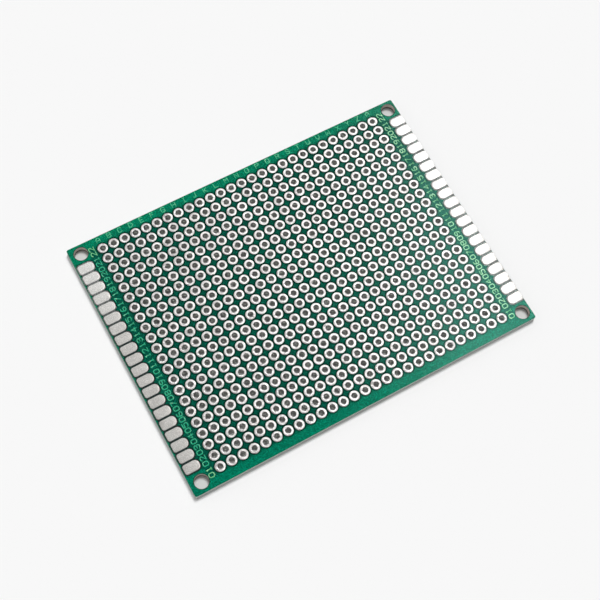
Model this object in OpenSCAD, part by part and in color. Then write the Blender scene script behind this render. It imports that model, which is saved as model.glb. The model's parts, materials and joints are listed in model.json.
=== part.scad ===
// Prototype board with plated through-holes. A glass-epoxy sheet carries a solder
// mask on both faces, a grid of tinned through-holes on a tenth-inch pitch, and a
// row of tinned contact fingers on both faces of each short side.
//
// The origin is under the middle of the hole grid, on the plane that the board
// rests on. X runs along the rows of holes, Y across them, and Z is up.

/* [Hole grid] */
// Distance from one hole to the next, along and across the board
pitch = 2.54; // [2.5:0.01:3]
// Holes in one row
columns = 27; // [3:1:40]
// Diameter of a finished hole
hole_d = 1; // [0.6:0.05:1.3]
// Diameter of the tinned land round a hole
land_d = 2.2; // [1.8:0.05:2.3]
// Thickness of the plating on the wall of a hole
plating_t = 0.04; // [0.02:0.01:0.1]

/* [Sheet] */
// Thickness of the glass-epoxy sheet
sheet_t = 1.5; // [0.8:0.1:3.2]
// Sheet beyond the end hole of a row, at each short side
side_margin = 6.78; // [6.2:0.01:15]
// Sheet beyond the first and the last row, at each long side
end_margin = 3.13; // [2.8:0.01:12]
// Radius of the sheet's corners
corner_r = 0.4; // [0.1:0.1:2]
// How far the sheet was cut off the middle of its holes, along X
cut_shift_x = -0.27; // [-0.4:0.01:0.4]
// How far the sheet was cut off the middle of its holes, along Y
cut_shift_y = -0.1; // [-0.4:0.01:0.4]

/* [Mounting holes] */
// Diameter of a mounting hole
mount_hole_d = 3; // [2:0.1:3.4]
// Distance from the middle of a mounting hole to the two edges beside it
mount_inset = 2.2; // [1.9:0.05:2.6]

/* [Contact fingers] */
// Length of a finger
finger_len = 3.5; // [1.5:0.05:3.6]
// Bare strip between two fingers
finger_gap = 0.33; // [0.2:0.01:0.8]
// Distance from the end hole of a row to the round end of its finger
finger_setback = 3.22; // [1.6:0.01:4]
// Radius of the corners at a finger's round end
finger_inner_r = 1; // [0.2:0.05:1.1]
// Radius of the corners at a finger's outer end
finger_outer_r = 0.55; // [0.1:0.05:1]

/* [Copper and tin] */
// Thickness of the copper foil on each face
copper_t = 0.035; // [0.02:0.005:0.05]
// Height of the fingers, and of the crown of a land, above the sheet
tin_h = 0.08; // [0.06:0.005:0.15]
// Width of the sloping shoulder at each side of a land's crown
shoulder_w = 0.14; // [0.05:0.01:0.2]

/* [Solder mask] */
// Thickness of the mask on each face
mask_t = 0.03; // [0.015:0.005:0.05]
// Bare ring between the tinned copper and the mask
mask_gap = 0.08; // [0.02:0.01:0.09]
// Bare ring between a mounting hole and the mask
mount_mask_gap = 0.12; // [0.02:0.01:0.2]

/* [Hidden] */
$fn = 48;
// Rows of holes, one node each
rows = 22;

first_x = -(columns - 1) / 2 * pitch;
first_y = -(rows - 1) / 2 * pitch;
sheet_len = (columns - 1) * pitch + 2 * side_margin;
sheet_wid = (rows - 1) * pitch + 2 * end_margin;
mount_x = sheet_len / 2 - mount_inset;
mount_y = sheet_wid / 2 - mount_inset;

drill_d = hole_d + 2 * plating_t;
sheet_bottom = tin_h;
sheet_top = sheet_bottom + sheet_t;
sheet_middle = (sheet_bottom + sheet_top) / 2;

finger_w = pitch - finger_gap;
finger_x = -first_x + finger_setback;

// Row 1 is the near one, and its number is written with two digits
function row_name(row) = str("plated_holes_row_", row < 10 ? "0" : "", row);
function row_y(row) = first_y + (row - 1) * pitch;

// The cut outline of the sheet, with its small corner radii
module sheet_outline() {
    x = sheet_len / 2;
    y = sheet_wid / 2;
    translate([cut_shift_x, cut_shift_y]) {
        square([2 * (x - corner_r), 2 * y], center = true);
        square([2 * x, 2 * (y - corner_r)], center = true);
        for (i = [-1, 1], j = [-1, 1])
            translate([i * (x - corner_r), j * (y - corner_r)]) circle(r = corner_r);
    }
}

// A disc of one diameter on every hole of the grid
module grid_discs(d) {
    for (i = [0:columns - 1], row = [1:rows])
        translate([first_x + i * pitch, row_y(row)]) circle(d = d);
}

// A disc of one diameter on each of the four mounting holes
module mount_discs(d) {
    for (i = [-1, 1], j = [-1, 1])
        translate([i * mount_x, j * mount_y]) circle(d = d);
}

// One finger's outline, grown all round by a rim. Its round end is at x = 0 and it
// runs towards +X.
module finger_outline(rim = 0) {
    half_w = finger_w / 2 + rim;
    inner_r = finger_inner_r + rim;
    outer_r = finger_outer_r + rim;
    x0 = -rim;
    x1 = finger_len + rim;
    translate([x0 + inner_r, -half_w]) square([x1 - outer_r - x0 - inner_r, 2 * half_w]);
    translate([x0, -(half_w - inner_r)]) square([x1 - x0 - outer_r, 2 * (half_w - inner_r)]);
    translate([x0 + inner_r, -(half_w - outer_r)])
        square([x1 - x0 - inner_r, 2 * (half_w - outer_r)]);
    for (j = [-1, 1]) {
        translate([x0 + inner_r, j * (half_w - inner_r)]) circle(r = inner_r);
        translate([x1 - outer_r, j * (half_w - outer_r)]) circle(r = outer_r);
    }
}

// The fingers of one short side, from the second row to the last but one
module finger_row(side, rim = 0) {
    for (row = [2:rows - 1])
        translate([side * finger_x, row_y(row)])
            mirror([side < 0 ? 1 : 0, 0]) finger_outline(rim);
}

// Turns what stands on the top face over, onto the bottom face
module on_bottom() {
    translate([0, 0, 2 * sheet_middle]) mirror([0, 0, 1]) children();
}

module laminate() {
    color("tan")
        translate([0, 0, sheet_bottom])
            linear_extrude(sheet_t)
                difference() {
                    sheet_outline();
                    grid_discs(drill_d);
                    mount_discs(mount_hole_d);
                }
}

module solder_mask() {
    color("seagreen")
        translate([0, 0, sheet_top])
            linear_extrude(mask_t)
                difference() {
                    sheet_outline();
                    grid_discs(land_d + 2 * mask_gap);
                    mount_discs(mount_hole_d + 2 * mount_mask_gap);
                    for (side = [-1, 1]) finger_row(side, mask_gap);
                }
}

// One face's half of a plated hole in section, as points from the mouth of the bore
// outwards and back under the land: a sloping mouth, the crown of the tin, a sloping
// shoulder, the edge of the foil, and the foil's underside on the sheet
function land_section(face_z, up) = [
    [hole_d / 2, face_z + up * copper_t],
    [hole_d / 2 + shoulder_w, face_z + up * tin_h],
    [land_d / 2 - shoulder_w, face_z + up * tin_h],
    [land_d / 2, face_z + up * copper_t],
    [land_d / 2, face_z],
    [drill_d / 2, face_z]
];
function backwards(points) = [for (i = [len(points) - 1:-1:0]) points[i]];

// One plated hole: a tinned barrel through the sheet with a land on each face
module plated_hole() {
    rotate_extrude()
        polygon(concat(land_section(sheet_top, 1), backwards(land_section(sheet_bottom, -1))));
}

module plated_holes(row) {
    color("gainsboro")
        for (i = [0:columns - 1])
            translate([first_x + i * pitch, row_y(row), 0]) plated_hole();
}

module fingers(side) {
    color("lightgray")
        translate([0, 0, sheet_top])
            linear_extrude(tin_h)
                intersection() {
                    sheet_outline();
                    finger_row(side);
                }
}

laminate();
solder_mask();  // solder_mask_top
on_bottom() solder_mask();  // solder_mask_bottom
for (row = [1:rows])
    plated_holes(row);
fingers(-1);  // fingers_left_top
on_bottom() fingers(-1);  // fingers_left_bottom
fingers(1);  // fingers_right_top
on_bottom() fingers(1);  // fingers_right_bottom
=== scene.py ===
"""Looks of a prototype board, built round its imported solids. Lengths are in metres."""

import json
import math

import bpy
import numpy as np
from mathutils import Matrix, Vector

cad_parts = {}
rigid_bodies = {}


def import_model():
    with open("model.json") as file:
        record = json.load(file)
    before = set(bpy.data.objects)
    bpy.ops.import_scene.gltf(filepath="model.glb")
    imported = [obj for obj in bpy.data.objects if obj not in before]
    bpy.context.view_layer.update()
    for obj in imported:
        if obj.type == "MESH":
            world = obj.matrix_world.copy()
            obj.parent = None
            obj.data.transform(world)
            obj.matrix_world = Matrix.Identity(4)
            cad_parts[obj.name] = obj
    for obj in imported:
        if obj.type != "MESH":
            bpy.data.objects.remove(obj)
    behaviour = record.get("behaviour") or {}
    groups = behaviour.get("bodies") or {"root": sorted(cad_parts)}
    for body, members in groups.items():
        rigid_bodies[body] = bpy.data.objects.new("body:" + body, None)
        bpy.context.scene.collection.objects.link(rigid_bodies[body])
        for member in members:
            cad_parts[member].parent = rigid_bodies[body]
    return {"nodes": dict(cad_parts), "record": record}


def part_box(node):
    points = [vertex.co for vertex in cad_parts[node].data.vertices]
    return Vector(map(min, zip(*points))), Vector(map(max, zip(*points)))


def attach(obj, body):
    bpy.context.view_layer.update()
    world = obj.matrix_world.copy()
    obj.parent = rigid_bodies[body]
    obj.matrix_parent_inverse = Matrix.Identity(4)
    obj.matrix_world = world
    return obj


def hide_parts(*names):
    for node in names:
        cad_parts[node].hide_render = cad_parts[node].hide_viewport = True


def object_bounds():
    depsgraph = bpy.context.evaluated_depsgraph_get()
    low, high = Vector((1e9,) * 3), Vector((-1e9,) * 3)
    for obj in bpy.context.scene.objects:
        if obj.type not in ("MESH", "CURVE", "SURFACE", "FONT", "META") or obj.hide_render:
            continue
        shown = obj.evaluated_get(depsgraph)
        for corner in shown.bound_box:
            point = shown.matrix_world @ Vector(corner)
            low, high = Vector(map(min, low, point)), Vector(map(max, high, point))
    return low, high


for thing in list(bpy.data.objects):
    bpy.data.objects.remove(thing)
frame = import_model()
cad_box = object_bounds()


# The sheet is woven glass cloth pressed in epoxy resin, drilled, and routed to its
# outline. Its cut edge is pale and shows the layers of cloth. Its faces are a dull
# olive, darkened near black with painted shade, and show only in the bare rings round
# the tinned copper.

MM = 0.001

sheet = frame["nodes"]["laminate"]
sheet_low, sheet_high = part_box("laminate")
mount_sizes = {mount["name"]: mount["dims"] for mount in frame["record"]["mounts"]}
mount_holes = mount_sizes["mounting_holes"]
mount_at = {"X": mount_holes["spacing_x_mm"] / 2 * MM, "Y": mount_holes["spacing_y_mm"] / 2 * MM}
mount_slack = 0.2 * MM
mount_reach = mount_holes["hole_r_mm"] * MM + mount_slack

edge_pale = (0.50, 0.52, 0.49, 1)
edge_dark = (0.29, 0.31, 0.30, 1)
# Painted shade: the bare faces are coloured near black for the shade in the rings round the tin
bare_face_painted_shade = (0.008, 0.022, 0.015, 1)
bore_pale = (0.64, 0.58, 0.52, 1)
# Painted shade at the foot of the mounting-hole walls
bore_painted_shade = (0.045, 0.040, 0.034, 1)
bore_shade_from = 0.8 * MM
bore_shade_to = 1.3 * MM
cloth_layer = 0.2 * MM
layer_contrast = 0.18
darkest_layer = 1.2
edge_to_face = (0.4, 0.6)
edge_roughness = 0.66
face_roughness = 0.24
mottle_per_m = 260.0
mottle_range = (0.35, 0.65)
fleck_range = (0.42, 0.68)


def feed(tree, socket, value):
    """Links another node's output to a socket, or sets the socket to a plain value."""
    if isinstance(value, bpy.types.NodeSocket):
        tree.links.new(value, socket)
    else:
        socket.default_value = value


def lay_step(tree, kind, settings=None, **inputs):
    """Adds a shader node, feeds its inputs by name, and returns it."""
    step = tree.nodes.new("ShaderNode" + kind)
    for name, value in (settings or {}).items():
        setattr(step, name, value)
    for name, value in inputs.items():
        feed(tree, step.inputs[name.replace("_", " ")], value)
    return step


def sum_of(tree, rule, first, second=0.0):
    """Works on one value, or joins two, by a rule of arithmetic."""
    step = lay_step(tree, "Math", {"operation": rule})
    feed(tree, step.inputs[0], first)
    feed(tree, step.inputs[1], second)
    return step.outputs["Value"]


def vector_sum(tree, rule, first, second=(0, 0, 0)):
    """Works out a number from one vector or two, such as a length or a distance."""
    step = lay_step(tree, "VectorMath", {"operation": rule})
    feed(tree, step.inputs[0], first)
    feed(tree, step.inputs[1], second)
    return step.outputs["Value"]


def long_side(tree, first, second):
    """The hypotenuse over two lengths at right angles."""
    squares = [sum_of(tree, "MULTIPLY", length, length) for length in (first, second)]
    return sum_of(tree, "SQRT", sum_of(tree, "ADD", *squares))


def spot_on(tree):
    """Where on the board a shaded point lies."""
    return lay_step(tree, "TexCoord").outputs["Object"]


def parts_of(tree, vector):
    """A vector's parts along X, Y and Z, by these names."""
    return lay_step(tree, "SeparateXYZ", Vector=vector).outputs


def stretch(tree, value, low, high, to_low=0.0, to_high=1.0):
    """Maps a value's range low to high onto another range, with soft ends."""
    step = lay_step(
        tree, "MapRange", {"interpolation_type": "SMOOTHSTEP"}, Value=value,
        From_Min=low, From_Max=high, To_Min=to_low, To_Max=to_high)
    return step.outputs["Result"]


def blend_colours(tree, share, first, second):
    """Goes from one colour to another as share goes from 0 to 1."""
    step = lay_step(tree, "Mix", {"data_type": "RGBA"})
    # The sockets for numbers and vectors come before those for colours
    for place, value in ((0, share), (6, first), (7, second)):
        feed(tree, step.inputs[place], value)
    return step.outputs[2]


def start_finish(name, roughness=0.5, metallic=0.0, specular=0.5):
    """A new material with its shader, ready for colour and relief."""
    finish = bpy.data.materials.new(name)
    finish.use_nodes = True
    shader = finish.node_tree.nodes["Principled BSDF"]
    shader.inputs["Roughness"].default_value = roughness
    shader.inputs["Metallic"].default_value = metallic
    shader.inputs["Specular IOR Level"].default_value = specular
    return finish, finish.node_tree, shader


def start_effect(name, inputs, outputs, out_kind="Float"):
    """A new shader node group with named inputs, their defaults, and named outputs."""
    effect = bpy.data.node_groups.new(name, "ShaderNodeTree")
    for socket_name, default in inputs.items():
        socket = effect.interface.new_socket(socket_name, in_out="INPUT", socket_type="NodeSocketFloat")
        socket.default_value = default
    for socket_name in outputs:
        effect.interface.new_socket(socket_name, in_out="OUTPUT", socket_type="NodeSocket" + out_kind)
    return effect, effect.nodes.new("NodeGroupInput"), effect.nodes.new("NodeGroupOutput")


def place_effect(tree, effect, **values):
    """Puts a shader node group into a material with its own values."""
    step = lay_step(tree, "Group", {"node_tree": effect})
    for name, value in values.items():
        step.inputs[name.replace("_", " ")].default_value = value
    return step


def raise_relief(tree, shader, height, strength, depth):
    """Gives a shader's surface a fine relief of the given depth."""
    bump = lay_step(tree, "Bump", Strength=strength, Distance=depth, Height=height)
    tree.links.new(bump.outputs["Normal"], shader.inputs["Normal"])


# Cloth threads and resin mottle, shared by the sheet and the mask over it
glass_cloth, cloth_in, cloth_out = start_effect(
    "glass_cloth", {"Thread Pitch": 0.5 * MM, "Fleck Size": 0.2 * MM}, ["Weave", "Mottle", "Flecks"])
spot = spot_on(glass_cloth)
axes = parts_of(glass_cloth, spot)
turns = sum_of(glass_cloth, "DIVIDE", 2 * math.pi, cloth_in.outputs["Thread Pitch"])
along = sum_of(glass_cloth, "SINE", sum_of(glass_cloth, "MULTIPLY", axes["X"], turns))
across = sum_of(glass_cloth, "SINE", sum_of(glass_cloth, "MULTIPLY", axes["Y"], turns))
weave = sum_of(glass_cloth, "MULTIPLY", along, across)
glass_cloth.links.new(weave, cloth_out.inputs["Weave"])
mottle = lay_step(glass_cloth, "TexNoise", Vector=spot, Scale=mottle_per_m, Detail=3.0, Roughness=0.55)
mottle = stretch(glass_cloth, mottle.outputs["Fac"], *mottle_range)
glass_cloth.links.new(mottle, cloth_out.inputs["Mottle"])
fleck_scale = sum_of(glass_cloth, "DIVIDE", 1.0, cloth_in.outputs["Fleck Size"])
flecks = lay_step(glass_cloth, "TexNoise", Vector=spot, Scale=fleck_scale, Detail=2.0, Roughness=0.6)
flecks = stretch(glass_cloth, flecks.outputs["Fac"], *fleck_range)
glass_cloth.links.new(flecks, cloth_out.inputs["Flecks"])

# 1 in and just round the four mounting holes, shared by the sheet's hole walls and the table's painted
# shade
mount_spots, _, mount_out = start_effect("mount_spots", {}, ["Near Mount"])
axes = parts_of(mount_spots, spot_on(mount_spots))
off_mount = [sum_of(mount_spots, "SUBTRACT", sum_of(mount_spots, "ABSOLUTE", axes[axis]), at)
             for axis, at in mount_at.items()]
near_mount = sum_of(mount_spots, "LESS_THAN", long_side(mount_spots, *off_mount), mount_reach)
mount_spots.links.new(near_mount, mount_out.inputs["Near Mount"])

glass_epoxy, tree, shader = start_finish("glass_epoxy", specular=0.4)
cloth = place_effect(tree, glass_cloth, Thread_Pitch=0.45 * MM, Fleck_Size=0.12 * MM)
height = parts_of(tree, spot_on(tree))["Z"]
layers = sum_of(tree, "SINE", sum_of(tree, "MULTIPLY", height, 2 * math.pi / cloth_layer))
layer_share = sum_of(tree, "ADD", sum_of(tree, "MULTIPLY", layers, layer_contrast), cloth.outputs["Flecks"])
edge_colour = blend_colours(tree, stretch(tree, layer_share, 0, darkest_layer), edge_pale, edge_dark)

# The walls of the mounting holes are browner, and painted dark towards their lower rim as shade
bore_depth = sum_of(tree, "SUBTRACT", sheet_high.z, height)
bore_shade = stretch(tree, bore_depth, bore_shade_from, bore_shade_to)
bore_colour = blend_colours(tree, bore_shade, bore_pale, bore_painted_shade)
near_mount = place_effect(tree, mount_spots).outputs["Near Mount"]
edge_colour = blend_colours(tree, near_mount, edge_colour, bore_colour)

facing = parts_of(tree, lay_step(tree, "NewGeometry").outputs["Normal"])
flatness = sum_of(tree, "ABSOLUTE", facing["Z"])
sheet_colour = blend_colours(tree, stretch(tree, flatness, *edge_to_face), edge_colour, bare_face_painted_shade)
sheet_roughness = stretch(tree, flatness, *edge_to_face, edge_roughness, face_roughness)
tree.links.new(sheet_colour, shader.inputs["Base Color"])
tree.links.new(sheet_roughness, shader.inputs["Roughness"])
raise_relief(tree, shader, cloth.outputs["Flecks"], strength=0.5, depth=0.03 * MM)
sheet.data.materials[0] = glass_epoxy


# The solder mask is a green photo-cured ink, about 0.03 mm thick, on both faces of the
# sheet. It is glossy and takes up the weave of the cloth under it. Its colour is darker
# between the lands than on the margins and darkest close to the tin, with painted shade,
# and between the fingers it is painted grey for their shade and sheen.

mask_far_margin = (0.000, 0.204, 0.104, 1)
mask_near_margin = (0.000, 0.182, 0.102, 1)
mask_between_painted_shade = (0.000, 0.086, 0.052, 1)
mask_painted_shade_at_tin = (0.000, 0.008, 0.005, 1)
mask_tint = (0.33, 1.0, 0.80, 1)
fleck_lightness = (0.52, 1.74)
mottle_lightness = (-0.05, 0.05)
right_painted_shade = 0.80
weave_share = 0.4
gap_near_shade = (0.037, 0.041, 0.043, 1)
gap_far_sheen = (0.350, 0.345, 0.345, 1)
gap_right_sheen = (0.480, 0.450, 0.450, 1)
gap_half = 0.12 * MM
gap_blur = 0.06 * MM
painted_light_from = 2 * MM
painted_light_to = 22 * MM
margin_edge = 0.6 * MM
rim_edge = 0.1 * MM
tin_shade = 0.45 * MM
columns = 27
rows = 22
finger_count = 20
finger_inner_r = 1.0 * MM
finger_outer_r = 0.55 * MM

row_low, row_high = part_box("plated_holes_row_01")
last_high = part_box("plated_holes_row_22")[1]
left_low, left_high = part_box("fingers_left_top")
right_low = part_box("fingers_right_top")[0]
land_r = (row_high.y - row_low.y) / 2
first_hole = Vector((row_low.x + land_r, row_low.y + land_r))
pitch = (row_high.x - row_low.x - 2 * land_r) / (columns - 1)
finger_len = left_high.x - left_low.x
finger_w = left_high.y - left_low.y - (finger_count - 1) * pitch
finger_gap = pitch - finger_w
finger_middle = -(left_low.x + left_high.x) / 2


def lane_offset(tree, along, first, count):
    """How far a point lies from the nearest of a row of evenly spaced lines."""
    lane = sum_of(tree, "DIVIDE", sum_of(tree, "SUBTRACT", along, first), pitch)
    lane = sum_of(tree, "ROUND", lane)
    lane = sum_of(tree, "MINIMUM", sum_of(tree, "MAXIMUM", lane, 0), count - 1)
    line = sum_of(tree, "ADD", sum_of(tree, "MULTIPLY", lane, pitch), first)
    return sum_of(tree, "SUBTRACT", along, line)


# Distance from the middle of the nearest hole, and from the edge of the nearest tin
tin_distance, _, distance_out = start_effect("tin_distance", {}, ["From Hole", "From Tin"])
axes = parts_of(tin_distance, spot_on(tin_distance))
off_x = lane_offset(tin_distance, axes["X"], first_hole.x, columns)
off_y = lane_offset(tin_distance, axes["Y"], first_hole.y, rows)
from_hole = long_side(tin_distance, off_x, off_y)
from_land = sum_of(tin_distance, "SUBTRACT", from_hole, land_r)
out_x = sum_of(tin_distance, "ABSOLUTE", axes["X"])
finger_x = sum_of(tin_distance, "SUBTRACT", out_x, finger_middle)
finger_y = lane_offset(tin_distance, axes["Y"], left_low.y + finger_w / 2, finger_count)
outer_end = sum_of(tin_distance, "GREATER_THAN", finger_x, 0)
corner_r = stretch(tin_distance, outer_end, 0, 1, finger_inner_r, finger_outer_r)
past_end = sum_of(tin_distance, "SUBTRACT", sum_of(tin_distance, "ABSOLUTE", finger_x), finger_len / 2)
past_side = sum_of(tin_distance, "SUBTRACT", sum_of(tin_distance, "ABSOLUTE", finger_y), finger_w / 2)
past_end = sum_of(tin_distance, "ADD", past_end, corner_r)
past_side = sum_of(tin_distance, "ADD", past_side, corner_r)
outside = long_side(tin_distance, sum_of(tin_distance, "MAXIMUM", past_end, 0),
                    sum_of(tin_distance, "MAXIMUM", past_side, 0))
inside = sum_of(tin_distance, "MINIMUM", sum_of(tin_distance, "MAXIMUM", past_end, past_side), 0)
from_finger = sum_of(tin_distance, "SUBTRACT", sum_of(tin_distance, "ADD", outside, inside), corner_r)
from_tin = sum_of(tin_distance, "MINIMUM", from_land, from_finger)
tin_distance.links.new(from_hole, distance_out.inputs["From Hole"])
tin_distance.links.new(from_tin, distance_out.inputs["From Tin"])

# Painted shade and sheen for the gaps between the fingers: dark at the near end and painted
# paler at the far end and on the right, shared by the ink there and the skirts of the fingers
gap_shade_and_sheen, _, grey_out = start_effect("gap_shade_and_sheen", {}, ["Grey"], out_kind="Color")
axes = parts_of(gap_shade_and_sheen, spot_on(gap_shade_and_sheen))
far_off = stretch(gap_shade_and_sheen, axes["Y"], painted_light_from, painted_light_to)
to_right = stretch(gap_shade_and_sheen, axes["X"], 0, right_low.x)
grey = blend_colours(gap_shade_and_sheen, far_off, gap_near_shade, gap_far_sheen)
grey = blend_colours(gap_shade_and_sheen, to_right, grey, gap_right_sheen)
gap_shade_and_sheen.links.new(grey, grey_out.inputs["Grey"])

solder_mask, tree, shader = start_finish("solder_mask", roughness=0.12, specular=0.19)
shader.inputs["Specular Tint"].default_value = mask_tint
cloth = place_effect(tree, glass_cloth, Thread_Pitch=0.5 * MM, Fleck_Size=0.15 * MM)
from_tin = place_effect(tree, tin_distance).outputs["From Tin"]
axes = parts_of(tree, spot_on(tree))
out_x = sum_of(tree, "ABSOLUTE", axes["X"])
out_y = sum_of(tree, "ABSOLUTE", axes["Y"])
long_margin = stretch(tree, out_y, last_high.y - margin_edge, last_high.y + margin_edge)
past_fingers = stretch(tree, out_y, left_high.y, left_high.y + margin_edge)
past_numbers = stretch(tree, out_x, -left_high.x - margin_edge, -left_high.x)
corner = sum_of(tree, "MULTIPLY", past_fingers, past_numbers)
rim = stretch(tree, out_x, -left_low.x, -left_low.x + rim_edge)
margin = sum_of(tree, "MAXIMUM", sum_of(tree, "MAXIMUM", long_margin, corner), rim)
far_share = stretch(tree, axes["Y"], row_low.y, last_high.y)
margin_colour = blend_colours(tree, far_share, mask_near_margin, mask_far_margin)
# Painted shade, in part: the ink is coloured darker between the lands than on the margins
ink = blend_colours(tree, margin, mask_between_painted_shade, margin_colour)
# Painted shade: the ink is coloured darkest close to the tin
ink = blend_colours(tree, stretch(tree, from_tin, 0, tin_shade, 1, 0), ink, mask_painted_shade_at_tin)
# Between the fingers the ink takes the painted shade and sheen of the gaps
beside_finger = stretch(tree, from_tin, gap_half, gap_half + gap_blur, 1, 0)
beside_finger = sum_of(tree, "MULTIPLY", beside_finger, sum_of(tree, "GREATER_THAN", out_x, -left_high.x))
ink = blend_colours(tree, beside_finger, ink, place_effect(tree, gap_shade_and_sheen).outputs["Grey"])
lightness = sum_of(tree, "ADD", stretch(tree, cloth.outputs["Flecks"], 0, 1, *fleck_lightness),
                   stretch(tree, cloth.outputs["Mottle"], 0, 1, *mottle_lightness))
# Painted shade: the ink is coloured darker towards the right
to_right = stretch(tree, axes["X"], 0, right_low.x, 1, right_painted_shade)
lightness = sum_of(tree, "MULTIPLY", lightness, to_right)
mottled = lay_step(tree, "HueSaturation", Value=lightness, Color=ink)
tree.links.new(mottled.outputs["Color"], shader.inputs["Base Color"])
threads = sum_of(tree, "MULTIPLY", cloth.outputs["Weave"], weave_share)
relief = sum_of(tree, "ADD", threads, cloth.outputs["Flecks"])
raise_relief(tree, shader, relief, strength=0.12, depth=0.02 * MM)
for face in ("top", "bottom"):
    frame["nodes"][f"solder_mask_{face}"].data.materials[0] = solder_mask


# Each hole is plated with copper, through the sheet and onto a round land on each face,
# then dipped in solder and blown level with hot air. The tin is thickest on the crown
# of the land, rolls into the mouth of the hole, and never lies quite even.

hole_r = 0.5 * MM
drill_r = 0.54 * MM
mouth_r = 0.10 * MM
mouth_drop = 0.06 * MM
mouth_rise = 0.85
crown_at = 0.35
crown_rise = 0.96
shoulder_w = 0.17 * MM
shoulder_rise = 0.86
rim_r = 0.12 * MM
rim_rise = 0.8
rim_from = 0.35
mouth_uneven = 0.4
rim_uneven = 0.3
arc_points = 4
facets = 24
most_lean = 0.13
most_lobe = 0.012
lobe_count = 3
most_fill = 0.05
least_swell = 0.88
tin_bright = (0.82, 0.802, 0.788, 1)
tin_dull = (0.705, 0.682, 0.668, 1)
tin_in_bore = (0.68, 0.69, 0.66, 1)
mouth_painted_shade = (0.27, 0.26, 0.25, 1)
mouth_fade = (hole_r + 0.9 * mouth_r, hole_r + 1.7 * mouth_r)
bore_fade = (0.1 * MM, 0.45 * MM)
dull_per_m = 420.0
dull_range = (0.45, 0.7)
grain_range = (0.3, 0.7)
land_roughness = (0.40, 0.50)
land_grain = 0.25
smudge_grey = (0.40, 0.39, 0.37, 1)
smudge_at = (1.93 * MM, -26.05 * MM, sheet_high.z)
smudge_r = 0.5 * MM
smudge_depth = 0.9

crown = row_high.z - sheet_high.z
draws = np.random.default_rng(22)


def land_profile():
    """One face's land in section, from the bore outwards. Each point has its radius,
    its height over the sheet and how much of the tin's unevenness it takes."""
    points = []
    for a in np.linspace(0, math.pi / 2, arc_points):
        rise = (mouth_drop + mouth_rise * crown) * math.sin(a) - mouth_drop
        points.append((hole_r + mouth_r * (1 - math.cos(a)), rise, mouth_uneven))
    crown_r = hole_r + mouth_r + crown_at * (land_r - hole_r - mouth_r)
    points.append((crown_r, crown * crown_rise, 1.0))
    points.append((land_r - shoulder_w, crown * shoulder_rise, 1.0))
    for a in np.linspace(rim_from, math.pi / 2, arc_points):
        points.append((land_r - rim_r * (1 - math.sin(a)), crown * rim_rise * math.cos(a), rim_uneven))
    return points


def hole_rings():
    """The closed section of a plated hole, as rings of radius, height and unevenness,
    and the face that each belongs to, 1 for the top and -1 for the bottom."""
    upper = [(r, sheet_high.z + h, share, 1) for r, h, share in land_profile()]
    lower = [(r, sheet_low.z - h, share, -1) for r, h, share in land_profile()]
    wall = [(hole_r, sheet_low.z + k * (sheet_high.z - sheet_low.z) / 3, 0.0, 1) for k in (1, 2)]
    hidden = [(drill_r, sheet_high.z, 0.0, 1), (drill_r, sheet_low.z, 0.0, -1)]
    return wall + upper + hidden + lower[::-1]


def mesh_of(name, points, faces, finish, smooth=True):
    """A mesh object from points and faces."""
    mesh = bpy.data.meshes.new(name)
    mesh.from_pydata([tuple(p) for p in points], [], [tuple(f) for f in faces])
    mesh.update()
    if smooth:
        mesh.shade_smooth()
    mesh.materials.append(finish)
    piece = bpy.data.objects.new(name, mesh)
    bpy.context.scene.collection.objects.link(piece)
    return piece


def plated_row(name, centre_y, finish):
    """All the plated holes of one row, each with its own slightly uneven tin."""
    rings = np.array(hole_rings())
    turn = np.arange(facets) * 2 * math.pi / facets
    points, faces = [], []
    count = len(rings)
    for column in range(columns):
        centre_x = first_hole.x + column * pitch
        lean, lean_way = draws.uniform(0.0, most_lean), draws.uniform(0, 2 * math.pi)
        lobes, lobe_way = draws.uniform(0.0, most_lobe), draws.uniform(0, 2 * math.pi)
        fill, fill_way = draws.uniform(0.0, most_fill), draws.uniform(0, 2 * math.pi)
        swell = draws.uniform(least_swell, 1.0)
        start = len(points)
        for radius, z, share, up in rings:
            face_z = sheet_high.z if up > 0 else sheet_low.z
            over = up * (z - face_z)
            uneven = 1 + share * (swell - 1 + lean * (np.cos(turn - lean_way) - 1) / 2)
            ring_z = face_z + up * np.where(over > 0, over * uneven, over)
            mouth = max(0.0, 1 - (radius - hole_r) / (2 * mouth_r)) if radius != drill_r else 0.0
            ring_r = radius * (1 + (lobes * np.cos(lobe_count * turn - lobe_way) if share else 0.0))
            ring_r = ring_r - mouth * fill * hole_r * (1 + np.cos(turn - fill_way))
            ring_r = np.minimum(ring_r, land_r)
            points += list(zip(centre_x + ring_r * np.cos(turn), centre_y + ring_r * np.sin(turn), ring_z))
        for ring in range(count):
            here = start + ring * facets
            there = start + (ring + 1) % count * facets
            for k in range(facets):
                after = (k + 1) % facets
                faces.append((here + k, there + k, there + after, here + after))
    return mesh_of(name, points, faces, finish)


# Unevenness of hot-air-levelled tin, shared by the lands and the fingers
levelled_tin, tin_in, tin_out = start_effect(
    "levelled_tin", {"Grain Size": 0.15 * MM, "Sag Size": 1.2 * MM}, ["Grain", "Sag", "Dullness"])
spot = spot_on(levelled_tin)
grain_scale = sum_of(levelled_tin, "DIVIDE", 1.0, tin_in.outputs["Grain Size"])
grain = lay_step(levelled_tin, "TexNoise", Vector=spot, Scale=grain_scale, Detail=3.0, Roughness=0.6)
levelled_tin.links.new(grain.outputs["Fac"], tin_out.inputs["Grain"])
sag_scale = sum_of(levelled_tin, "DIVIDE", 1.0, tin_in.outputs["Sag Size"])
sag = lay_step(levelled_tin, "TexNoise", Vector=spot, Scale=sag_scale, Detail=2.0, Roughness=0.5)
levelled_tin.links.new(sag.outputs["Fac"], tin_out.inputs["Sag"])
dull = lay_step(levelled_tin, "TexNoise", Vector=spot, Scale=dull_per_m, Detail=4.0, Roughness=0.65)
dull = stretch(levelled_tin, dull.outputs["Fac"], *dull_range)
levelled_tin.links.new(dull, tin_out.inputs["Dullness"])

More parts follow.
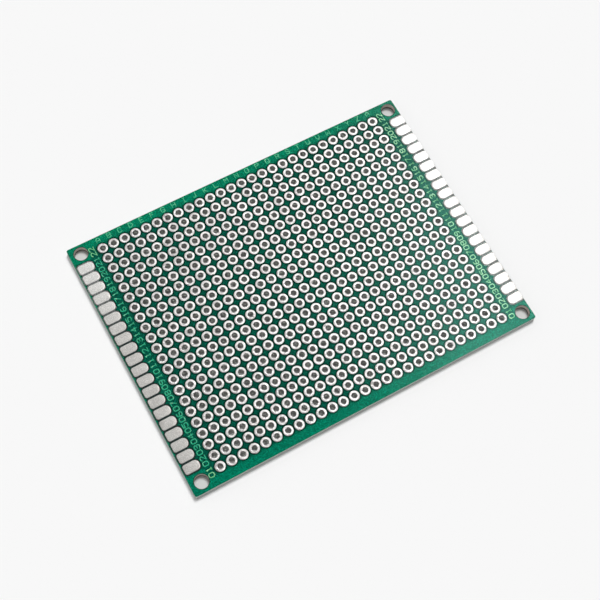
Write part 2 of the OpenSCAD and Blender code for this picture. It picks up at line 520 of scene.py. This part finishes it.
tinned_land, tree, shader = start_finish("tinned_land", metallic=1.0)
tin = place_effect(tree, levelled_tin, Grain_Size=0.12 * MM, Sag_Size=0.7 * MM)
from_hole = place_effect(tree, tin_distance).outputs["From Hole"]
spot = spot_on(tree)
land_tin = blend_colours(tree, tin.outputs["Dullness"], tin_bright, tin_dull)
# Painted shade: the tin is coloured dark in the mouth of each hole; deeper in the bore it goes to a plain
# tin grey
in_mouth = stretch(tree, from_hole, *mouth_fade, 1, 0)
land_tin = blend_colours(tree, in_mouth, land_tin, mouth_painted_shade)
depth = sum_of(tree, "SUBTRACT", sheet_high.z, parts_of(tree, spot)["Z"])
in_bore = sum_of(tree, "MULTIPLY", stretch(tree, depth, *bore_fade), in_mouth)
land_tin = blend_colours(tree, in_bore, land_tin, tin_in_bore)
from_smudge = vector_sum(tree, "DISTANCE", spot, smudge_at)
smudge = stretch(tree, from_smudge, smudge_r / 2, smudge_r, smudge_depth, 0)
land_tin = blend_colours(tree, smudge, land_tin, smudge_grey)
tree.links.new(land_tin, shader.inputs["Base Color"])
roughness = stretch(tree, tin.outputs["Grain"], *grain_range, *land_roughness)
tree.links.new(roughness, shader.inputs["Roughness"])
fine_grain = sum_of(tree, "MULTIPLY", tin.outputs["Grain"], land_grain)
relief = sum_of(tree, "ADD", fine_grain, tin.outputs["Sag"])
raise_relief(tree, shader, relief, strength=0.35, depth=0.03 * MM)

for row in range(1, rows + 1):
    node = f"plated_holes_row_{row:02d}"
    low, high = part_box(node)
    lands = plated_row(f"tinned_lands_row_{row:02d}", (low.y + high.y) / 2, tinned_land)
    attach(lands, "root")
    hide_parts(node)


# The contact fingers are foil pads at both short sides, twenty on each face, tinned like
# the lands. Each is a low pillow of dull tin on a thin skirt of foil, round at its inner
# end. The board was cut a little off its pattern, so the right ones end at the cut.

finger_tin = (0.59, 0.575, 0.55, 1)
finger_worn = (0.50, 0.485, 0.46, 1)
finger_painted_light = (0.75, 0.74, 0.715, 1)
finger_roughness = (0.22, 0.30)
finger_grain = 0.7
skirt_w = 0.065 * MM
skirt_blur = 0.2
outer_steps = 4
inner_steps = 9
least_r = 0.02 * MM

# A finger in section: how far in from its outline, in millimetres, and the share of
# its height there. The skirt ends at the fourth point.
pillow = [(0.0, 0.0), (0.0, 0.38), (0.01, 0.42), (0.06, 0.43), (0.085, 0.70), (0.13, 0.92), (0.26, 1.0)]


def finger_outline(inset):
    """A finger's outline seen from above, drawn in by inset, from its round end at x = 0."""
    half_w = finger_w / 2
    corners = [
        (finger_len - finger_outer_r, -(half_w - finger_outer_r), finger_outer_r, -90, outer_steps),
        (finger_len - finger_outer_r, half_w - finger_outer_r, finger_outer_r, 0, outer_steps),
        (finger_inner_r, half_w - finger_inner_r, finger_inner_r, 90, inner_steps),
        (finger_inner_r, -(half_w - finger_inner_r), finger_inner_r, 180, inner_steps),
    ]
    points = []
    for x, y, radius, start, steps in corners:
        for k in range(steps):
            a = math.radians(start + 90 * k / (steps - 1))
            reach = max(radius - inset, least_r)
            points.append((x + reach * math.cos(a), y + reach * math.sin(a)))
    return points


def finger_column(name, node, finish):
    """The fingers of one side and face, cut off where the sheet ends."""
    low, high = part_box(node)
    to_right = low.x > 0
    round_end = low.x if to_right else high.x
    upward = low.z > sheet_low.z
    base = sheet_high.z if upward else sheet_low.z
    points, faces = [], []
    for k in range(finger_count):
        centre_y = low.y + finger_w / 2 + k * pitch
        start = len(points)
        for inset, rise in pillow:
            z = base + (1 if upward else -1) * crown * rise
            for x, y in finger_outline(inset * MM):
                x = round_end + x if to_right else round_end - x
                points.append((min(max(x, low.x), high.x), centre_y + y, z))
        size = (len(points) - start) // len(pillow)
        turned = to_right != upward
        for ring in range(len(pillow) - 1):
            for i in range(size):
                j = (i + 1) % size
                a, b = start + ring * size, start + (ring + 1) * size
                quad = (a + i, a + j, b + j, b + i)
                faces.append(quad[::-1] if turned else quad)
        top = [start + (len(pillow) - 1) * size + i for i in range(size)]
        floor = [start + i for i in range(size)]
        faces.append(top[::-1] if turned else top)
        faces.append(floor if turned else floor[::-1])
    return mesh_of(name, points, faces, finish)


tinned_finger, tree, shader = start_finish("tinned_finger", metallic=0.35)
tin = place_effect(tree, levelled_tin, Grain_Size=0.09 * MM, Sag_Size=1.4 * MM)
finger_colour = blend_colours(tree, tin.outputs["Dullness"], finger_tin, finger_worn)
# Painted light: the fingers are coloured brighter towards the far end
far_painted_light = stretch(tree, parts_of(tree, spot_on(tree))["Y"], painted_light_from, painted_light_to)
finger_colour = blend_colours(tree, far_painted_light, finger_colour, finger_painted_light)
from_tin = place_effect(tree, tin_distance).outputs["From Tin"]
# Painted shade and sheen: the skirts take the colour of the gaps between the fingers
on_skirt = stretch(tree, from_tin, -(1 + skirt_blur) * skirt_w, -(1 - skirt_blur) * skirt_w)
skirt_shade_and_sheen = place_effect(tree, gap_shade_and_sheen).outputs["Grey"]
finger_colour = blend_colours(tree, on_skirt, finger_colour, skirt_shade_and_sheen)
tree.links.new(finger_colour, shader.inputs["Base Color"])
roughness = stretch(tree, tin.outputs["Grain"], *grain_range, *finger_roughness)
tree.links.new(roughness, shader.inputs["Roughness"])
fine_grain = sum_of(tree, "MULTIPLY", tin.outputs["Grain"], finger_grain)
relief = sum_of(tree, "ADD", fine_grain, tin.outputs["Sag"])
raise_relief(tree, shader, relief, strength=0.10, depth=0.02 * MM)

for side in ("left", "right"):
    for face in ("top", "bottom"):
        node = f"fingers_{side}_{face}"
        strip = finger_column(f"tinned_fingers_{side}_{face}", node, tinned_finger)
        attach(strip, "root")
        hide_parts(node)


# The row numbers and column letters are plain index marks, left in the copper under the
# mask, so that the ink stands up over them as thin shiny ribs. The numbers lie beside
# both ends of each row, turned to be read from the right, and the letters at the far side.

number_stroke = 0.20 * MM
letter_stroke = 0.17 * MM
stroke_h = 0.02 * MM
stroke_end = 0.4
sharpest_bend = 0.6
grid_height = 6
number_unit = Vector((0.215, 0.182)) * MM
letter_unit = Vector((0.20, 0.18)) * MM
number_advance = 1.22 * MM
left_numbers_at = (-35.28 * MM, -0.13 * MM)
left_number_creep = 0.014 * MM
right_numbers_at = (35.13 * MM, 0.05 * MM)
letters_shift = -0.12 * MM
letters_y = 28.85 * MM
mark_green = (0.00, 0.37, 0.185, 1)
mark_pale = (0.00, 0.53, 0.260, 1)
mark_end = (0.12, 0.57, 0.235, 1)
mark_right_sheen = (0.17, 0.55, 0.26, 1)
mark_letter = (0.03, 0.51, 0.25, 1)
mark_tint = (0.9, 1.0, 0.80, 1)
mark_index = 1.7
mask_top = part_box("solder_mask_top")[1].z

# Each stroke runs through points on a grid of 4 by 6, named by their two digits
glyphs = {
    "0": "10 30 41 45 36 16 05 01 10", "1": "05 16 10,00 20", "2": "05 16 36 45 44 00 40",
    "3": "05 16 36 45 44 33 13,33 42 41 30 10 01", "4": "30 36 02 42",
    "5": "46 06 04 34 43 41 30 10 01", "6": "36 16 03 01 10 30 41 42 33 03",
    "7": "06 46 10", "8": "13 04 05 16 36 45 44 33 13,13 02 01 10 30 41 42 33",
    "9": "10 30 43 45 36 16 05 04 13 43",
    "A": "00 04 26 44 40,02 42", "B": "00 06 36 45 44 33 03,33 42 41 30 00",
    "C": "41 30 10 01 05 16 36 45", "D": "00 06 26 44 42 20 00", "E": "40 00 06 46,03 33",
    "F": "00 06 46,03 33", "G": "45 36 16 05 01 10 30 41 43 23", "H": "00 06,40 46,03 43",
    "I": "10 30,16 36,20 26", "J": "01 10 20 31 36", "K": "00 06,46 13 40", "L": "06 00 40",
    "M": "00 06 23 46 40", "N": "00 06 40 46", "O": "10 30 41 45 36 16 05 01 10",
    "P": "00 06 36 45 44 33 03", "Q": "10 30 41 45 36 16 05 01 10,22 40",
    "R": "00 06 36 45 44 33 03,23 40", "S": "01 10 30 41 42 33 13 04 05 16 36 45",
    "T": "06 46,20 26", "U": "06 01 10 30 41 46", "V": "06 03 20 43 46", "W": "06 00 23 40 46",
    "X": "00 46,06 40", "Y": "06 23 46,23 20", "Z": "06 46 00 40",
}

# A rib in section, in shares of its width and of its height over the mask
rib_section = [(-0.5, -0.3), (-0.42, 0.6), (-0.26, 1.0), (0.26, 1.0), (0.42, 0.6), (0.5, -0.3)]


def add_rib(points, faces, path, stroke_w):
    """Lays one raised rib along a path of flat points, mitred at its bends."""
    closed = path[0] == path[-1]
    if closed:
        path = path[:-1]
    count = len(path)
    start = len(points)
    for k, point in enumerate(path):
        before = path[k - 1] if closed or k > 0 else None
        after = path[(k + 1) % count] if closed or k < count - 1 else None
        into = (point - before).normalized() if before is not None else (after - point).normalized()
        out = (after - point).normalized() if after is not None else into
        run = (into + out).normalized()
        side = Vector((-run.y, run.x)) / max(run.dot(into), sharpest_bend)
        end = Vector((0, 0))
        if not closed and k in (0, count - 1):
            end = run * stroke_w * (-stroke_end if k == 0 else stroke_end)
        for across, rise in rib_section:
            at = point + end + side * across * stroke_w
            points.append((at.x, at.y, mask_top + rise * stroke_h))
    size = len(rib_section)
    for k in range(count if closed else count - 1):
        here, there = start + k * size, start + (k + 1) % count * size
        for i in range(size):
            j = (i + 1) % size
            faces.append((here + i, here + j, there + j, there + i))
    if not closed:
        faces.append(tuple(start + i for i in range(size))[::-1])
        faces.append(tuple(start + (count - 1) * size + i for i in range(size)))


def add_mark(points, faces, mark, stroke_w, place_on):
    """Adds one figure or letter, with place_on giving each grid point its place."""
    for stroke in glyphs[mark].split(","):
        path = [place_on(int(pair[0]), int(pair[1])) for pair in stroke.split()]
        add_rib(points, faces, path, stroke_w)


def mark_middle(mark):
    """The middle of a figure's width, in grid units."""
    return max(int(pair[0]) for pair in glyphs[mark].replace(",", " ").split()) / 2


def number_column(name, first_at, creep, finish):
    """The numbers of all rows at one end, with their tops towards the left. The first
    is off its row by first_at, and each further one by a little creep more."""
    points, faces = [], []
    centre_x, first_shift = first_at
    for row in range(rows):
        row_y = first_hole.y + first_shift + row * (pitch + creep)
        for mark, side in zip(f"{row + 1:02d}", (-0.5, 0.5)):
            at_y = row_y + side * number_advance - mark_middle(mark) * number_unit.x
            add_mark(points, faces, mark, number_stroke, lambda across, up: Vector(
                (centre_x - (up - grid_height / 2) * number_unit.y, at_y + across * number_unit.x)))
    return mesh_of(name, points, faces, finish)


def letter_line(name, centre_y, finish):
    """One letter over each column, from A on, and from A again after Z."""
    points, faces = [], []
    for column in range(columns):
        at_x = first_hole.x + column * pitch + letters_shift
        letter = chr(ord("A") + column % 26)
        add_mark(points, faces, letter, letter_stroke, lambda across, up: Vector(
            (at_x + (across - 2) * letter_unit.x, centre_y + (up - grid_height / 2) * letter_unit.y)))
    return mesh_of(name, points, faces, finish)


mask_over_copper, tree, shader = start_finish("mask_over_copper", roughness=0.16, specular=1.0)
shader.inputs["Specular Tint"].default_value = mark_tint
shader.inputs["IOR"].default_value = mark_index
cloth = place_effect(tree, glass_cloth, Thread_Pitch=0.5 * MM, Fleck_Size=0.3 * MM)
axes = parts_of(tree, spot_on(tree))
out_y = sum_of(tree, "ABSOLUTE", axes["Y"])
mark_colour = blend_colours(tree, cloth.outputs["Flecks"], mark_green, mark_pale)
# Painted sheen: the marks are coloured paler towards the right
to_right = stretch(tree, axes["X"], 0, right_low.x)
mark_colour = blend_colours(tree, to_right, mark_colour, mark_right_sheen)
past_fingers = sum_of(tree, "GREATER_THAN", out_y, left_high.y + finger_gap)
mark_colour = blend_colours(tree, past_fingers, mark_colour, mark_end)
past_rows = sum_of(tree, "GREATER_THAN", out_y, last_high.y + finger_gap)
mark_colour = blend_colours(tree, past_rows, mark_colour, mark_letter)
tree.links.new(mark_colour, shader.inputs["Base Color"])
raise_relief(tree, shader, cloth.outputs["Flecks"], strength=0.2, depth=0.02 * MM)

index_marks = [
    number_column("row_numbers_left", left_numbers_at, left_number_creep, mask_over_copper),
    number_column("row_numbers_right", right_numbers_at, 0, mask_over_copper),
    letter_line("column_letters", letters_y, mask_over_copper),
]
for marks in index_marks:
    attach(marks, "root")


# The board lies on a white table in a pale studio. A broad lamp high at the far right
# casts the soft shadow, and the even light comes a little more from the left. A strip
# light and a bright far wall shine in the ink and the tin. The camera stands near left.

table_white = (0.92, 0.92, 0.92, 1)
# Painted shade under the mounting holes
table_painted_shade = (0.68, 0.70, 0.69, 1)
table_reach = 3.0
even_light = 0.42
backdrop_light = 0.92
overhead_light = 0.30
overhead_from = 0.9
horizon_light = 0.29
far_light = 0.30
far_wall = (0.28, 0.46)
side_light = 0.20
side_from = Vector((-0.85, 0.30, 0.0))
lamp_from = Vector((0.30, 0.27, 1.0))
lamp_spread = 20
lamp_share = 0.60
strip_from = Vector((0.41, 0.29, 1.0)).normalized()
strip_across = Vector((0.93, -0.36, 0.0))
strip_light = 14.0
strip_half_width = math.sin(math.radians(4))
strip_half_length = math.sin(math.radians(30))
strip_depth = 1000
strip_core = 0.4
camera_at = Vector((-53.98, -78.83, 224.52)) * MM
camera_aim = Vector((-2.09, -3.25, 1.60)) * MM
camera_roll = math.radians(5.85)
lens_mm = 69.455
sensor_mm = 36

# Painted shade: the table is coloured grey under the mounting holes, for the board's shade there
white_table, tree, shader = start_finish("white_table", roughness=0.9, specular=0.0)
near_mount = place_effect(tree, mount_spots).outputs["Near Mount"]
table_colour = blend_colours(tree, near_mount, table_white, table_painted_shade)
tree.links.new(table_colour, shader.inputs["Base Color"])
corners = [(x * table_reach, y * table_reach, cad_box[0].z)
           for x, y in ((-1, -1), (1, -1), (1, 1), (-1, 1))]
table = mesh_of("table", corners, [(0, 1, 2, 3)], white_table, smooth=False)

world = bpy.data.worlds.new("studio")
bpy.context.scene.world = world
world.use_nodes = True
tree = world.node_tree
tree.nodes.clear()
way = lay_step(tree, "TexCoord").outputs["Generated"]
strip_along = strip_from.cross(strip_across).normalized()
strip_axes = Matrix((strip_along.cross(strip_from), strip_along, strip_from)).transposed()
on_strip = lay_step(
    tree, "Mapping", {"vector_type": "TEXTURE"}, Vector=way, Rotation=strip_axes.to_euler(),
    Scale=(strip_half_width, strip_half_length, strip_depth))
off_strip = vector_sum(tree, "LENGTH", on_strip.outputs["Vector"])
strip = stretch(tree, off_strip, strip_core, 1, strip_light, 0)
way_to = parts_of(tree, way)
strip = sum_of(tree, "MULTIPLY", strip, sum_of(tree, "GREATER_THAN", way_to["Z"], 0))
studio = stretch(tree, way_to["Z"], 0, overhead_from, horizon_light, overhead_light)
studio = sum_of(tree, "ADD", studio, stretch(tree, way_to["Y"], *far_wall, 0, far_light))
studio = sum_of(tree, "ADD", studio, strip)
from_side = sum_of(tree, "MULTIPLY", vector_sum(tree, "DOT_PRODUCT", way, side_from), side_light)
even = sum_of(tree, "ADD", from_side, even_light)
path = lay_step(tree, "LightPath").outputs
mirrored = sum_of(tree, "MULTIPLY", path["Is Glossy Ray"], sum_of(tree, "SUBTRACT", studio, even))
seen = sum_of(tree, "MAXIMUM", path["Is Camera Ray"], path["Is Transmission Ray"])
seen = sum_of(tree, "MULTIPLY", seen, sum_of(tree, "SUBTRACT", backdrop_light, even))
strength = sum_of(tree, "ADD", sum_of(tree, "ADD", mirrored, seen), even)
room = lay_step(tree, "Background", Color=(1, 1, 1, 1), Strength=strength)
lay_step(tree, "OutputWorld", Surface=room.outputs["Background"])

lamp = bpy.data.objects.new("broad_lamp", bpy.data.lights.new("broad_lamp", "SUN"))
lamp.data.angle = math.radians(lamp_spread)
lamp.data.energy = lamp_share * math.pi / lamp_from.normalized().z
lamp.rotation_euler = lamp_from.to_track_quat("Z", "Y").to_euler()
lamp.visible_glossy = False
bpy.context.scene.collection.objects.link(lamp)

camera = bpy.data.objects.new("camera", bpy.data.cameras.new("camera"))
camera.data.sensor_width = sensor_mm
camera.data.lens = lens_mm
camera.data.clip_start = 10 * MM
look = (camera_aim - camera_at).to_track_quat("-Z", "Y").to_matrix().to_4x4()
camera.matrix_world = Matrix.Translation(camera_at) @ look @ Matrix.Rotation(camera_roll, 4, "Z")
bpy.context.scene.collection.objects.link(camera)
bpy.context.scene.camera = camera
bpy.context.scene.view_settings.view_transform = "Standard"
